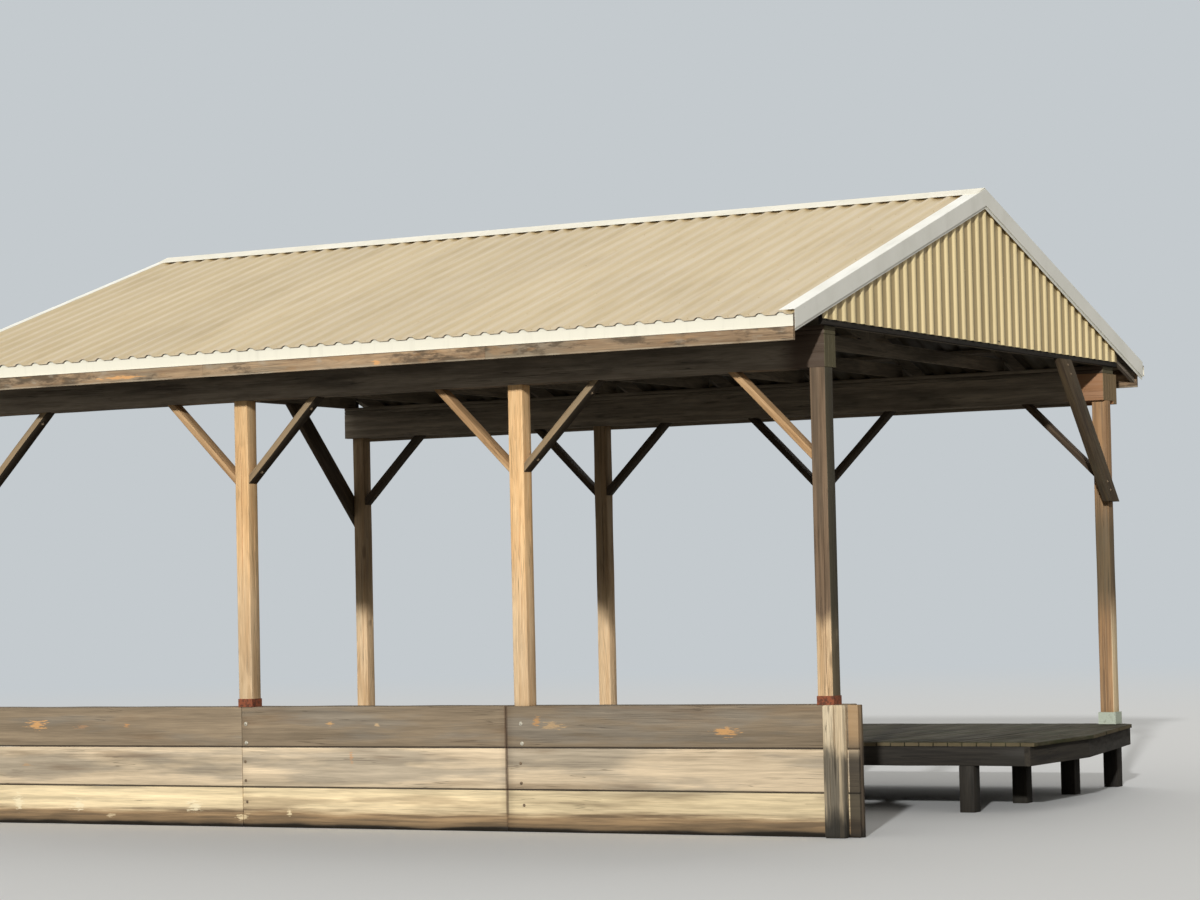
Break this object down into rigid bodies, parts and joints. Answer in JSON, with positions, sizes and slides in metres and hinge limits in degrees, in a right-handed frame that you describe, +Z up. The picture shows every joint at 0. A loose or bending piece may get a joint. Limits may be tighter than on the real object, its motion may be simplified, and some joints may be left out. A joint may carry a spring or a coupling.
{
  "type": "boathouse",
  "caption": "Open-sided timber boathouse with a plank bulkhead, a plank deck on piles, braced posts and a ribbed metal gable roof over a boat slip.",
  "frame": {"origin": "bottom centre of the whole building, at water level", "axes": "+X along the ridge, +Y across the slip from the bulkhead to the deck, +Z up"},
  "size_m": [10.329, 8.8178, 5.9765],
  "materials": {
    "post_timber": "weathered, sunlit, with checks",
    "frame_timber": "weathered brown",
    "bulkhead_timber": "weathered grey brown, stained by water",
    "deck_timber": "weathered grey with moss",
    "roof_sheet": "satin tan paint",
    "gable_sheet": "satin cream paint",
    "white_trim": "satin white paint",
    "rake_trim": "satin pale cream paint",
    "rusty_band": "rusted",
    "base_block": "chalky grey green paint"
  },
  "bodies": {
    "root": {"bulkhead_planks": "bulkhead_timber", "bulkhead_cap": "bulkhead_timber", "bulkhead_wales": "bulkhead_timber", "near_piles": "bulkhead_timber", "bulkhead_end_boards": "bulkhead_timber", "front_corner_piles": "post_timber", "near_post_1": "post_timber", "near_post_2": "post_timber", "near_post_3": "post_timber", "near_post_4": "post_timber", "far_post_1": "post_timber", "far_post_2": "post_timber", "far_post_3": "post_timber", "far_post_4": "post_timber", "near_post_bands": "rusty_band", "far_post_bases": "base_block", "near_beam": "frame_timber", "far_beam": "frame_timber", "far_beam_outer_ply": "frame_timber", "top_plates": "frame_timber", "near_knee_braces": "frame_timber", "far_knee_braces": "frame_timber", "gable_braces": "frame_timber", "tie_beams": "frame_timber", "near_rafters": "frame_timber", "far_rafters": "frame_timber", "king_posts": "frame_timber", "web_struts": "frame_timber", "ridge_board": "frame_timber", "near_purlins": "frame_timber", "far_purlins": "frame_timber", "near_fascia": "frame_timber", "far_fascia": "frame_timber", "gable_girts": "frame_timber", "barge_boards": "frame_timber", "near_eave_trim": "white_trim", "far_eave_trim": "white_trim", "ridge_cap": "white_trim", "near_roof_sheet": "roof_sheet", "far_roof_sheet": "roof_sheet", "right_gable_sheet": "gable_sheet", "left_gable_sheet": "gable_sheet", "right_rake_trim": "rake_trim", "left_rake_trim": "rake_trim", "deck_boards": "deck_timber", "deck_rim": "deck_timber", "deck_stringers": "deck_timber", "deck_piles": "deck_timber"}
  },
  "joints": []
}
